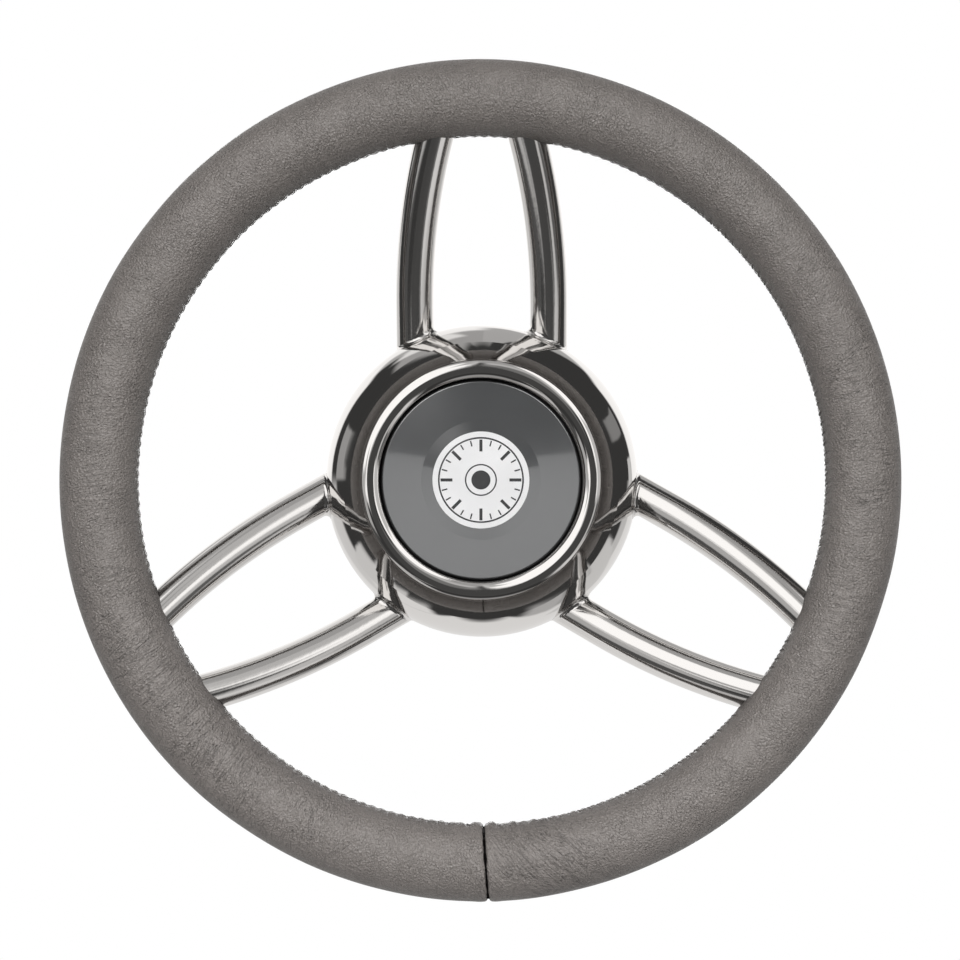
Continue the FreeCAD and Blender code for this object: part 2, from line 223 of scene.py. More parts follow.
def polishedStainless(drawn):
    # mirror-polished 316 stainless: bright and nearly neutral, with a faint unevenness left by the buffing
    # wheel; a drawn tube also has faint streaks along its length
    material, tree = newMaterial("drawnStainless" if drawn else "polishedStainless")
    place = placeOf(tree)
    extra = polish["drawnRoughness"] if drawn else 0.0
    waveSize = polish["drawnWaveSize"] if drawn else polish["waveSize"]
    waveHeight = polish["drawnWaveHeight"] if drawn else polish["waveHeight"]
    haze = addNode(tree, "ShaderNodeTexNoise", links={
        "Vector": place, "Scale": 1 / (polish["hazeSize"] * mm), "Detail": 3.0})
    roughness = addNode(tree, "ShaderNodeMapRange", links={
        0: haze.outputs[0], 3: polish["roughness"] + extra, 4: polish["hazeRoughness"] + extra})
    wave = addNode(tree, "ShaderNodeTexNoise", links={
        "Vector": place, "Scale": 1 / (waveSize * mm), "Detail": 1.0, "Roughness": 0.4})
    bump = addNode(tree, "ShaderNodeBump", links={
        "Distance": waveHeight * mm, "Height": wave.outputs[0]})
    if drawn:
        # the tubes run outwards from the hub, so the streaks follow the radius
        axes = addNode(tree, "ShaderNodeSeparateXYZ", links={0: place})
        turn = addNode(tree, "ShaderNodeMath", {"operation": "ARCTAN2"},
                       {0: axes.outputs["Z"], 1: axes.outputs["X"]})
        flat = addNode(tree, "ShaderNodeCombineXYZ", links={0: axes.outputs["X"], 1: axes.outputs["Z"]})
        reach = addNode(tree, "ShaderNodeVectorMath", {"operation": "LENGTH"}, {0: flat.outputs[0]})
        polar = addNode(tree, "ShaderNodeCombineXYZ", links={
            0: turn.outputs[0], 1: axes.outputs["Y"], 2: reach.outputs["Value"]})
        fine = 1 / (polish["streakWidth"] * mm)
        tubeMiddle = 0.6 * rimRadius    # where the turn is as wide as a streak
        sized = addNode(tree, "ShaderNodeVectorMath", {"operation": "MULTIPLY"}, {
            0: polar.outputs[0], 1: (tubeMiddle * fine, fine, 1 / (polish["streakLength"] * mm))})
        streak = addNode(tree, "ShaderNodeTexNoise", links={
            "Vector": sized.outputs[0], "Scale": 1.0, "Detail": 2.0})
        bump = addNode(tree, "ShaderNodeBump", links={
            "Distance": polish["streakHeight"] * mm, "Height": streak.outputs[0],
            "Normal": bump.outputs[0]})
    shader = addNode(tree, "ShaderNodeBsdfPrincipled", links={
        "Base Color": linearColour(polish["colour"]), "Metallic": 1.0,
        "Roughness": roughness.outputs[0], "Normal": bump.outputs[0]})
    finishMaterial(tree, shader)
    return material


turned = {
    "colour": "#93918f", "roughness": (0.28, 0.44), "blotchSize": 12.0,
    "lineSpacing": 1.1, "lineHeight": 0.035,
}


def turnedStainless():
    # stainless left as turned on the lathe: grey, with fine rings round the wheel's axis that spread the light
    material, tree = newMaterial("turnedStainless")
    place = placeOf(tree)
    axes = addNode(tree, "ShaderNodeSeparateXYZ", links={0: place})
    reach = addNode(tree, "ShaderNodeCombineXYZ", links={0: axes.outputs["X"], 1: axes.outputs["Z"]})
    radius = addNode(tree, "ShaderNodeVectorMath", {"operation": "LENGTH"}, {0: reach.outputs[0]})
    line = addNode(tree, "ShaderNodeCombineXYZ", links={0: radius.outputs["Value"], 1: axes.outputs["Y"]})
    # real tool marks are about 0.2 mm apart; these are coarser so that they show
    rings = addNode(tree, "ShaderNodeTexNoise", {"noise_dimensions": "2D"},
                    {"Vector": line.outputs[0], "Scale": 1 / (turned["lineSpacing"] * mm), "Detail": 4.0})
    blotch = addNode(tree, "ShaderNodeTexNoise", links={
        "Vector": place, "Scale": 1 / (turned["blotchSize"] * mm), "Detail": 4.0})
    low, high = turned["roughness"]
    roughness = addNode(tree, "ShaderNodeMapRange", links={0: blotch.outputs[0], 3: low, 4: high})
    bump = addNode(tree, "ShaderNodeBump", links={
        "Distance": turned["lineHeight"] * mm, "Height": rings.outputs[0]})
    shader = addNode(tree, "ShaderNodeBsdfPrincipled", links={
        "Base Color": linearColour(turned["colour"]), "Metallic": 1.0,
        "Roughness": roughness.outputs[0], "Normal": bump.outputs[0]})
    finishMaterial(tree, shader)
    return material


# Sizes, as along and across the grip, widths and heights are in millimetres
leather = {
    # the last two colours are painted shade: in the cracks and creases, and in the hollows
    "colour": "#534f4c", "paleColour": "#6d6865", "lineShadeColour": "#383533", "recessShadeColour": "#080707",
    "crackSize": (1.1, 1.7), "crackWidth": 0.17, "crackHeight": 0.15, "crackLean": -0.3, "crackShade": 0.3,
    "creaseSize": (1.9, 14.0), "creaseWidth": 0.05, "creaseHeight": 0.2, "creaseLean": -0.15,
    "creaseShade": 0.5,
    "wrinkleSize": (2.3, 9.0), "wrinkleHeight": 0.5,
    "pebbleSize": (0.9, 1.15), "pebbleHeight": 0.39, "poreSize": 0.6, "poreHeight": 0.31, "poreShade": 1.9,
    # noise values between which the crazing grows, its least share, and values between which creases set in
    "patchSize": 13.0, "patchRange": (0.35, 0.62), "leastCrack": 0.45, "creaseRange": (0.46, 0.58),
    "cloudSize": 22.0, "cloudShade": 0.55, "paleStart": 0.2, "paintedShadeUpwards": 1.0,
    "roughness": (0.36, 0.5), "specular": 0.38,
}


def leanAcross(tree, gripMap, lean, cell, moved=0.0):
    # the grip's map in cells of a size along and across, with its lines across leaning by a slope
    axes = addNode(tree, "ShaderNodeSeparateXYZ", links={0: gripMap})
    slant = addNode(tree, "ShaderNodeMath", {"operation": "MULTIPLY_ADD"}, {
        0: axes.outputs[1], 1: lean, 2: axes.outputs[0]})
    leaning = addNode(tree, "ShaderNodeCombineXYZ", links={0: slant.outputs[0], 1: axes.outputs[1]})
    return addNode(tree, "ShaderNodeVectorMath", {"operation": "MULTIPLY_ADD"}, {
        0: leaning.outputs[0], 1: (1 / cell[0], 1 / cell[1], 0.0), 2: (moved, moved, 0.0)}).outputs[0]


def crackLines(tree, gripMap):
    # 0 in narrow lines between small cells, 1 elsewhere; the lines lean, and wander by up to 3 mm
    wander = addNode(tree, "ShaderNodeTexNoise", {"noise_dimensions": "2D"}, {
        "Vector": gripMap, "Scale": 0.22, "Detail": 2.0})
    shift = addNode(tree, "ShaderNodeVectorMath", {"operation": "MULTIPLY_ADD"}, {
        0: wander.outputs["Color"], 1: (3.0, 3.0, 0.0), 2: gripMap})
    cells = leanAcross(tree, shift.outputs[0], leather["crackLean"], leather["crackSize"], 7.3)
    edge = addNode(tree, "ShaderNodeTexVoronoi", {"feature": "DISTANCE_TO_EDGE", "voronoi_dimensions": "2D"}, {
        "Vector": cells, "Scale": 1.0})
    return addNode(tree, "ShaderNodeMapRange", {"interpolation_type": "SMOOTHSTEP"}, {
        0: edge.outputs["Distance"], 1: 0.0, 2: leather["crackWidth"], 3: 0.0, 4: 1.0}).outputs[0]


def creaseLines(tree, gripMap):
    # 0 in long thin lines across the grip, where a stretched noise passes its middle value, and 1 elsewhere
    stretched = leanAcross(tree, gripMap, leather["creaseLean"], leather["creaseSize"])
    noise = addNode(tree, "ShaderNodeTexNoise", {"noise_dimensions": "2D"}, {
        "Vector": stretched, "Scale": 1.0, "Detail": 1.5, "Distortion": 0.25})
    off = addNode(tree, "ShaderNodeMath", {"operation": "SUBTRACT"}, {0: noise.outputs[0], 1: 0.5})
    apart = addNode(tree, "ShaderNodeMath", {"operation": "ABSOLUTE"}, {0: off.outputs[0]})
    return addNode(tree, "ShaderNodeMapRange", {"interpolation_type": "SMOOTHSTEP"}, {
        0: apart.outputs[0], 1: 0.0, 2: leather["creaseWidth"], 3: 0.0, 4: 1.0}).outputs[0]


def greyLeather():
    # dyed and pressed cowhide: satin grey, crazed with fine lines across the grip, with painted shade in the
    # cracks, creases and hollows, and painted shade and light that make it darker round the wheel's top and paler
    # round its bottom
    material, tree = newMaterial("greyLeather")
    place = placeOf(tree)
    gripMap = addNode(tree, "ShaderNodeUVMap", {"uv_map": "gripMap"}).outputs[0]
    fold = addNode(tree, "ShaderNodeAttribute", {"attribute_name": "fold"}).outputs["Fac"]
    # depth is the painted shade of the seam, the joint, the sewn band, the holes and the grooves
    depth = addNode(tree, "ShaderNodeAttribute", {"attribute_name": "recessShade"}).outputs["Fac"]
    # the real crazing, grain and pores are 0.2 to 0.4 mm wide; they are drawn coarser so that they show
    crack = crackLines(tree, gripMap)
    crease = creaseLines(tree, gripMap)
    grain = leanAcross(tree, gripMap, 0.0, leather["pebbleSize"])
    pebble = addNode(tree, "ShaderNodeTexVoronoi", {"feature": "SMOOTH_F1", "voronoi_dimensions": "2D"}, {
        "Vector": grain, "Scale": 1.0, "Smoothness": 0.5})
    noises = []
    for size, detail, rough in ((leather["poreSize"], 2.0, 0.5), (leather["cloudSize"], 4.0, 0.6),
                                (leather["patchSize"], 2.0, 0.5)):
        noises.append(addNode(tree, "ShaderNodeTexNoise", links={
            "Vector": place, "Scale": 1 / (size * mm), "Detail": detail, "Roughness": rough}).outputs[0])
    pore, cloud, patch = noises
    # the painted shade in a hollow has a ragged edge, which follows the pores
    ragged = addNode(tree, "ShaderNodeMath", {"operation": "MULTIPLY_ADD"}, {0: pore, 1: 1.6, 2: -1.2})
    recessShade = addNode(tree, "ShaderNodeMath", {"operation": "MULTIPLY_ADD", "use_clamp": True}, {
        0: depth, 1: 1.8, 2: ragged.outputs[0]}).outputs[0]
    # crazing comes and goes in patches; creases lie in clusters where the leather was folded
    crackAmount = addNode(tree, "ShaderNodeMapRange", {"interpolation_type": "SMOOTHSTEP"}, {
        0: patch, 1: leather["patchRange"][0], 2: leather["patchRange"][1], 3: leather["leastCrack"], 4: 1.0})
    clustered = addNode(tree, "ShaderNodeMapRange", {"interpolation_type": "SMOOTHSTEP"}, {
        0: cloud, 1: leather["creaseRange"][0], 2: leather["creaseRange"][1]})
    creaseAmount = addNode(tree, "ShaderNodeMath", {"operation": "MULTIPLY"}, {0: fold, 1: clustered.outputs[0]})
    heights = []
    for line, amount, height in ((crack, crackAmount, leather["crackHeight"]),
                                 (crease, creaseAmount, leather["creaseHeight"])):
        cut = addNode(tree, "ShaderNodeMath", {"operation": "SUBTRACT"}, {0: line, 1: 1.0})
        deep = addNode(tree, "ShaderNodeMath", {"operation": "MULTIPLY"}, {
            0: cut.outputs[0], 1: amount.outputs[0]})
        heights.append((deep.outputs[0], height))
    bunched = leanAcross(tree, gripMap, 0.0, leather["wrinkleSize"])
    wrinkle = addNode(tree, "ShaderNodeTexNoise", {"noise_dimensions": "2D"}, {
        "Vector": bunched, "Scale": 1.0, "Detail": 1.5, "Distortion": 0.4})
    bunching = addNode(tree, "ShaderNodeMath", {"operation": "MULTIPLY"}, {0: fold, 1: wrinkle.outputs[0]})
    heights.append((bunching.outputs[0], leather["wrinkleHeight"]))
    # painted shade and light: the skin round the wheel's top is a little darker than at its bottom; pores and
    # clouds vary its tone at random
    upward = addNode(tree, "ShaderNodeSeparateXYZ", links={0: place}).outputs["Z"]
    toneAndShade = addNode(tree, "ShaderNodeMath", {"operation": "MULTIPLY_ADD"}, {
        0: upward, 1: -leather["paintedShadeUpwards"], 2: leather["paleStart"] - leather["poreShade"] / 2})
    toneAndShade = addNode(tree, "ShaderNodeMath", {"operation": "MULTIPLY_ADD"}, {
        0: pore, 1: leather["poreShade"], 2: toneAndShade.outputs[0]})
    toneAndShade = addNode(tree, "ShaderNodeMath", {"operation": "MULTIPLY_ADD", "use_clamp": True}, {
        0: cloud, 1: leather["cloudShade"], 2: toneAndShade.outputs[0]})
    hide = addNode(tree, "ShaderNodeMix", {"data_type": "RGBA"}, {
        0: toneAndShade.outputs[0], 6: linearColour(leather["colour"]), 7: linearColour(leather["paleColour"])})
    # painted shade in the crazing's cracks and in the creases, which darkens the colour towards a dark grey
    lineShade = addNode(tree, "ShaderNodeMath", {"operation": "MULTIPLY"}, {
        0: heights[0][0], 1: -leather["crackShade"]})
    lineShade = addNode(tree, "ShaderNodeMath", {"operation": "MULTIPLY_ADD", "use_clamp": True}, {
        0: heights[1][0], 1: -leather["creaseShade"], 2: lineShade.outputs[0]})
    folded = addNode(tree, "ShaderNodeMix", {"data_type": "RGBA"}, {
        0: lineShade.outputs[0], 6: hide.outputs[2], 7: linearColour(leather["lineShadeColour"])})
    # painted shade: the hollows go near black
    colour = addNode(tree, "ShaderNodeMix", {"data_type": "RGBA"}, {
        0: recessShade, 6: folded.outputs[2], 7: linearColour(leather["recessShadeColour"])})
    low, high = leather["roughness"]
    roughness = addNode(tree, "ShaderNodeMapRange", links={0: cloud, 3: low, 4: high})
    # where painted shade lies, the sheen is taken away too
    shine = addNode(tree, "ShaderNodeMapRange", links={0: recessShade, 3: leather["specular"], 4: 0.0})
    heights += [(pebble.outputs[0], leather["pebbleHeight"]), (pore, leather["poreHeight"])]
    normal = {}
    for height, rise in heights:
        bump = addNode(tree, "ShaderNodeBump", links={
            "Distance": rise * mm, "Height": height, **normal})
        normal = {"Normal": bump.outputs[0]}
    shader = addNode(tree, "ShaderNodeBsdfPrincipled", links={
        "Base Color": colour.outputs[2], "Roughness": roughness.outputs[0],
        "Specular IOR Level": shine.outputs[0], **normal})
    finishMaterial(tree, shader)
    return material


# How far the colour and the gloss of moulded and printed finishes vary, as shares
plain = {"cloudSize": 18.0, "colourSpread": 0.1, "glossSpread": 0.15}


def plainFinish(name, colour, roughness, grainSize, grainHeight, **sockets):
    # a moulded or spun finish: one colour that varies a little, with a fine bump of a size in millimetres
    material, tree = newMaterial(name)
    place = placeOf(tree)
    cloud = addNode(tree, "ShaderNodeTexNoise", links={
        "Vector": place, "Scale": 1 / (plain["cloudSize"] * mm), "Detail": 3.0})
    shade = addNode(tree, "ShaderNodeMapRange", links={
        0: cloud.outputs[0], 3: 1 - plain["colourSpread"], 4: 1 + plain["colourSpread"]})
    mixed = addNode(tree, "ShaderNodeVectorMath", {"operation": "SCALE"}, {
        0: linearColour(colour)[:3], "Scale": shade.outputs[0]})
    grain = addNode(tree, "ShaderNodeTexNoise", links={
        "Vector": place, "Scale": 1 / (grainSize * mm), "Detail": 3.0})
    bump = addNode(tree, "ShaderNodeBump", links={
        "Distance": grainHeight * mm, "Height": grain.outputs[0]})
    spread = roughness * plain["glossSpread"]
    gloss = addNode(tree, "ShaderNodeMapRange", links={
        0: grain.outputs[0], 3: roughness - spread, 4: roughness + spread})
    shader = addNode(tree, "ShaderNodeBsdfPrincipled", links={
        "Base Color": mixed.outputs[0], "Roughness": gloss.outputs[0], "Normal": bump.outputs[0], **sockets})
    finishMaterial(tree, shader)
    return material


# The resin on the badge; its gap to the foil and its waves are in millimetres
dome = {"gap": 0.03, "waveSize": 12.0, "waveHeight": 0.01, "ior": 1.5, "roughness": 0.03}


def clearResin():
    # poured polyurethane resin: water-clear with a glassy top
    material, tree = newMaterial("clearResin")
    wave = addNode(tree, "ShaderNodeTexNoise", links={
        "Vector": placeOf(tree), "Scale": 1 / (dome["waveSize"] * mm), "Detail": 1.0})
    bump = addNode(tree, "ShaderNodeBump", links={
        "Distance": dome["waveHeight"] * mm, "Height": wave.outputs[0]})
    # light that leaves the resin from within passes freely, so the foil under it stays bright
    side = addNode(tree, "ShaderNodeNewGeometry").outputs["Backfacing"]
    outside = addNode(tree, "ShaderNodeMath", {"operation": "SUBTRACT"}, {0: 1.0, 1: side})
    mirror = addNode(tree, "ShaderNodeFresnel", links={"IOR": dome["ior"], "Normal": bump.outputs[0]})
    edge = addNode(tree, "ShaderNodeMath", {"operation": "MULTIPLY"}, {
        0: mirror.outputs[0], 1: outside.outputs[0]})
    clear = addNode(tree, "ShaderNodeBsdfTransparent", links={"Color": white})
    gloss = addNode(tree, "ShaderNodeBsdfGlossy", links={
        "Roughness": dome["roughness"], "Normal": bump.outputs[0]})
    shader = addNode(tree, "ShaderNodeMixShader", links={
        0: edge.outputs[0], 1: clear.outputs[0], 2: gloss.outputs[0]})
    finishMaterial(tree, shader)
    return material


def dressNodes():
    # every CAD node keeps its shape and gets its finish
    finishes = {
        "polished_stainless": polishedStainless(drawn=False),
        "plain_stainless": turnedStainless(),
        # moulded polyurethane foam: dull black with small cells
        "grip_foam": plainFinish("gripFoam", "#262423", 0.8, 1.2, 0.2),
        # injection-moulded ABS with a clear lacquer: even mid grey with a deep gloss
        "grey_cap_plastic": plainFinish("greyCapAbs", "#454647", 0.14, 9.0, 0.004,
                                        **{"Coat Weight": 1.0, "Coat Roughness": 0.04}),
        # nitrile rubber cord: soft black sheen
        "black_rubber": plainFinish("nitrileRubber", "#151414", 0.45, 0.8, 0.02),
        # aluminised polyester foil: pale silver-grey, satin
        "pale_foil": plainFinish("silverFoil", "#dadadb", 0.38, 0.5, 0.004),
        # screen-printed ink: near black, satin
        "dark_ink": plainFinish("dialInk", "#262628", 0.5, 0.4, 0.003),
        "clear_resin": clearResin(),
    }
    drawn = polishedStainless(drawn=True)
    for part in frame["record"]["subparts"]:
        slot = part["material_slot"]
        if slot in finishes:
            mesh = nodes[part["node"]].data
            mesh.materials.clear()
            mesh.materials.append(drawn if part["node"] in spokeNames else finishes[slot])


def buildResin():
    # the resin's copy stands a hair clear of the foil and its print, so that its flat back never hides them
    mesh = nodes["badge_dome"].data.copy()
    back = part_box("badge_dome")[1].y
    gap = dome["gap"] * mm
    for vertex in mesh.vertices:
        if back - vertex.co.y < gap / 2:
            vertex.co.y = back - gap
    piece = newObject("resin_dome", mesh)
    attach(piece, "cap")
    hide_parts("badge_dome")
    return piece


# What the leather's holes and the thread share: the number of stitches, and each one's lean in millimetres
stitching = {"count": 213, "slant": 2.2}
# The leather sleeve. Lengths are in millimetres and angles in degrees; shades go from 0 to 1.
sleeve = {
    "columns": 1150, "rowStep": 1.65,
    "leftSwell": 0.42, "slowSwell": 0.14, "slowSize": 26.0,
    "seamAngle": 270.8, "seamLean": 0.78, "leanReach": 14.0, "seamWidth": 0.8, "seamWaver": 0.35,
    "edgeRound": 1.2, "seamDepth": 1.1, "seamRidge": 0.15,
    "puckerHeight": 0.7, "puckerSpacing": 8.5, "puckerReach": 13.0,
    # places are distances from the seam, to the right
    "pleatHeight": 0.35, "pleatSpacing": 4.2, "pleatLength": 18.0, "pleatLean": -0.75, "pleatPlace": 20.0,
    "seamTwist": -0.6, "twistPlace": 24.0, "twistReach": 34.0, "twistCrown": 20.0,
    "jointWidth": 0.5, "jointDepth": 1.0, "jointLip": 0.2,
    "holeSpread": 6.1, "holeDepth": 0.4, "holeSize": 0.6, "scallop": 0.24,
    # the lip and the groove round a tube are this far from its middle
    "tubeClear": 11.0, "tubeLip": 0.3, "lipPlace": 9.6, "tubeGroove": 0.8, "groovePlace": 8.0,
    "foldHeight": 0.07, "foldSpacing": 2.9, "foldLength": 15.0, "foldPatches": 40,
    "jointShade": 0.95, "sewnShade": 0.45, "sewnReach": 7.0, "holeShade": 0.15, "grooveShade": 0.7,
}
# how strong the folds are at angles round the wheel
foldStrength = {
    0: 1.1, 25: 0.7, 60: 0.25, 120: 0.3, 160: 0.45, 200: 0.9, 230: 1.0,
    245: 0.7, 262: 0.25, 285: 0.8, 300: 0.25, 320: 0.15, 340: 0.6,
}


def latticeNoise(u, v, cells, seed):
    # smooth random values from 0 to 1 that repeat after a number of cells along u
    rng = np.random.default_rng(seed)
    order, values = rng.permutation(4096), rng.random(4096)
    i, j = np.floor(u).astype(int), np.floor(v).astype(int)
    fu, fv = u - i, v - j
    fu, fv = fu * fu * (3 - 2 * fu), fv * fv * (3 - 2 * fv)
    corner = [[values[(order[(i + a) % cells % 4096] + j + b) % 4096] for b in (0, 1)] for a in (0, 1)]
    near = corner[0][0] * (1 - fv) + corner[0][1] * fv
    far = corner[1][0] * (1 - fv) + corner[1][1] * fv
    return near * (1 - fu) + far * fu


def bell(distance, width):
    return np.exp(-(distance / width) ** 2)


def foldPattern(theta, across, spacing, length, lean, seed):
    # narrow valleys, close together along the rim and long across it, which lean by a slope
    rimLength = fullTurn * rim
    cells = round(rimLength / spacing)
    along = (theta / fullTurn + lean * across / rimLength) * cells
    ridge = 1 - np.abs(2 * latticeNoise(along, across / length, cells, seed) - 1)
    return ridge ** 3


def gripPoints(theta, phi, radius):
    # points in millimetres, from the turn round the wheel and the turn and the radius in the grip's section
    ring = rim + radius * np.cos(phi)
    return np.stack([ring * np.cos(theta), rimDepth / mm - radius * np.sin(phi), ring * np.sin(theta)], axis=-1)


def distanceToTubes(points):
    # from each point to the middle line of the nearest tube, which ends in the grip, 20 mm past its foot
    nearest = np.full(points.shape[:-1], 1e3)
    for name in spokeNames:
        foot, way = tubeAxis(name)
        reach = points - foot / mm
        along = reach @ way
        distance = np.linalg.norm(reach - along[..., None] * way, axis=-1)
        distance[along > 20] = 1e3
        nearest = np.minimum(nearest, distance)
    return nearest


def sleeveGrid():
    # columns as turns round the wheel, closer together by the butt seam
    closeUp = np.array([0, 0.15, 0.3, 0.45, 0.6, 0.8, 1.0, 1.3, 1.7, 2.2, 2.8, 3.5]) / rim
    firstWide = 4.3 / rim
    wide = np.arange(firstWide, fullTurn - firstWide, fullTurn / sleeve["columns"])
    turns = math.radians(sleeve["seamAngle"]) + np.concatenate([closeUp, wide, -closeUp[:0:-1] + fullTurn])
    # rows in millimetres round the grip, from the joint at the inside, by the front, and back to it
    closeRows = np.array([0, 0.3, 0.6, 1.0, 1.5, 2.1, 2.8, 3.6, 4.4, 5.2, 6.0, 6.8, 7.8, 9.0])
    steps = round((halfRound - closeRows[-1]) / sleeve["rowStep"])
    front = np.concatenate([closeRows, np.linspace(closeRows[-1], halfRound, steps + 1)[1:]])
    return turns, np.concatenate([front, 2 * halfRound - front[-2:0:-1]])


def mapSleeve(mesh, turns, rows):
    # a map in millimetres along and across the grip; its two ends meet in the seam and the joint
    along = np.append(turns, turns[0] + fullTurn) * rim
    wrapped = np.append(rows, 2 * halfRound)
    # beside the seam the leather was pulled round, which twists its pattern
    twist = sleeve["seamTwist"] * bell((along - turns[0] * rim) - sleeve["twistPlace"], sleeve["twistReach"])
    fromCrown = np.clip(wrapped - halfRound / 2, -sleeve["twistCrown"], sleeve["twistCrown"])
    twisted = along[:, None] + twist[:, None] * fromCrown
    column, row = np.meshgrid(np.arange(len(turns)), np.arange(len(rows)), indexing="ij")
    flat = np.stack([np.stack([twisted[column + a, row + b], wrapped[row + b]], axis=-1)
                     for a, b in ((0, 0), (0, 1), (1, 1), (1, 0))], axis=2)
    mesh.uv_layers.new(name="gripMap").data.foreach_set("uv", flat.reshape(-1).astype(np.float32))


def buildLeather(material):
    size = sleeve
    seam = math.radians(size["seamAngle"])
    turns, rows = sleeveGrid()
    theta, around = np.meshgrid(turns, rows, indexing="ij")
    # signed distance from the joint, front positive; angle in the section, 0 outwards
    across = np.where(around > halfRound, around - 2 * halfRound, around)
    phi = math.pi - across / section

    # the seam's line leans a little across the grip
    apart = (theta - seam + math.pi) % fullTurn - math.pi
    local = rim + section * np.cos(phi)
    fromSeam = apart * local
    theta = theta + size["seamLean"] * np.cos(phi) * bell(fromSeam, size["leanReach"]) / local

    radius = np.full_like(theta, section)
    radius += size["leftSwell"] * -np.cos(theta)
    cells = round(fullTurn * rim / size["slowSize"])
    slow = latticeNoise(theta / fullTurn * cells, across / size["slowSize"], cells, 3)
    radius += size["slowSwell"] * (2 * slow - 1)

    # two sets of folds across the grip's front and back, which lean opposite ways, each in its own patches
    angles = sorted(foldStrength)
    strength = np.interp(np.degrees(theta), angles, [foldStrength[a] for a in angles], period=360)
    strength = strength * np.clip(np.sin(np.abs(across) / section) * 1.3, 0, 1)
    patches = size["foldPatches"]
    patch = latticeNoise(theta / fullTurn * patches, across / 30, patches, 8)
    spacing, length = size["foldSpacing"], size["foldLength"]
    folds = foldPattern(theta, across, spacing, length, 0.45, 11) * np.clip(patch * 2 - 0.4, 0, 1)
    folds += foldPattern(theta, across, spacing * 1.4, length * 0.8, -0.35, 12) * np.clip(1.4 - patch * 2, 0, 1)
    folds *= strength
    # pleats to the right of the seam, on the front and the back of the grip
    pleats = foldPattern(theta, across, size["pleatSpacing"], size["pleatLength"], size["pleatLean"], 15)
    pleats *= bell(fromSeam - size["pleatPlace"], 15)
    pleats *= bell(np.abs(across) - 22, 13)
    radius -= size["foldHeight"] * folds + size["pleatHeight"] * pleats

    # the joint along the inside, pulled in by each stitch
    inside = rim - section
    stitchTurn = fullTurn / stitching["count"]
    toTube = distanceToTubes(gripPoints(theta, phi, section))
    slantTurn = stitching["slant"] * np.clip(across / size["holeSpread"], -1.3, 1.3) / 2 / inside
    place = ((theta - slantTurn) / stitchTurn) % 1 - 0.5
    offStitch = place * stitchTurn * inside
    offHole = np.abs(across) - size["holeSpread"]
    clearOfTube = np.clip((toTube - size["tubeClear"]) / 2, 0, 1)
    holes = bell(offStitch, size["holeSize"]) * bell(offHole, 0.9) * clearOfTube
    between = np.cos(place * fullTurn) * bell(across, size["holeSpread"] * 0.8) * clearOfTube
    joint = bell(across, size["jointWidth"])
    radius -= size["holeDepth"] * holes + size["scallop"] * between + size["jointDepth"] * joint
    radius += size["jointLip"] * bell(np.abs(across) - 2.0, 1.1)

    # the leather's edge is turned up round each tube
    radius += size["tubeLip"] * bell(toTube - size["lipPlace"], 0.9)
    radius -= size["tubeGroove"] * bell(toTube - size["groovePlace"], 0.7)

    # the butt seam: two rounded edges with a gap between them, which painted shade below makes dark, a low ridge
    # and puckers beside it
    coarse = latticeNoise(around / 2.3, 0 * around, 64, 21)
    fine = latticeNoise(around / 0.9, 0 * around, 64, 22)
    waver = size["seamWaver"] * (coarse + 0.6 * fine - 0.8)
    past = np.abs(fromSeam) - size["seamWidth"] / 2 - waver
    curve = size["edgeRound"]
    rounded = curve - np.sqrt(np.clip(curve ** 2 - (curve - np.clip(past, 0, curve)) ** 2, 0, None))
    radius -= np.where(past < 0, size["seamDepth"], rounded)
    radius += size["seamRidge"] * bell(past - 3, 2)
    ripple = np.cos(fullTurn * (np.abs(fromSeam) - 2.8) / size["puckerSpacing"]) * (0.6 + 0.8 * patch)
    fading = np.exp(-np.abs(fromSeam) / size["puckerReach"]) * bell(across, 9)
    radius += size["puckerHeight"] * ripple * fading

    points = gripPoints(theta, phi, radius) * mm
    index = np.arange(theta.size).reshape(theta.shape)
    nextRow = np.roll(index, -1, 1)
    faces = np.stack([index, nextRow, np.roll(nextRow, -1, 0), np.roll(index, -1, 0)], axis=-1)
    mesh = bpy.data.meshes.new("leather_sleeve")
    mesh.from_pydata(points.reshape(-1, 3).tolist(), [], faces.reshape(-1, 4).tolist())
    mesh.shade_smooth()
    mapSleeve(mesh, turns, rows)
    # painted shade, dark and without sheen: in the seam's gap, along the joint, in a band along the sewn edge, in
    # the holes and in the groove round each tube
    recessShade = bell(past + 0.35, 0.5) + (past < 0)
    recessShade = np.maximum(recessShade, size["jointShade"] * joint)
    recessShade = np.maximum(recessShade, size["sewnShade"] * bell(across, size["sewnReach"]))
    recessShade = np.maximum(recessShade, size["holeShade"] * bell(offStitch, 0.45) * bell(offHole, 0.55) * clearOfTube)
    recessShade = np.maximum(recessShade, size["grooveShade"] * bell(toTube - size["groovePlace"], 0.5))
    # creases lie where the folds are strong, and among the pleats
    creased = strength + 0.5 * bell(fromSeam - size["pleatPlace"], 18)
    for name, values in (("recessShade", recessShade), ("fold", creased)):
        layer = mesh.attributes.new(name, "FLOAT", "POINT")
        layer.data.foreach_set("value", np.clip(values, 0, 1).ravel().astype(np.float32))
    mesh.materials.append(material)
    piece = newObject("leather_sleeve", mesh)
    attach(piece, "wheel")
    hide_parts("rim_leather")
    return piece


# The thread across the joint, in millimetres and degrees; spread is half of the turn that a stitch covers
thread = {
    "radius": 0.29, "lift": -0.24, "spread": 18.0, "tubeClear": 11.4,
    "colour": "#4c4846", "roughness": 0.6, "twistSize": 0.5, "twistHeight": 0.06, "twistShade": 0.25,
}


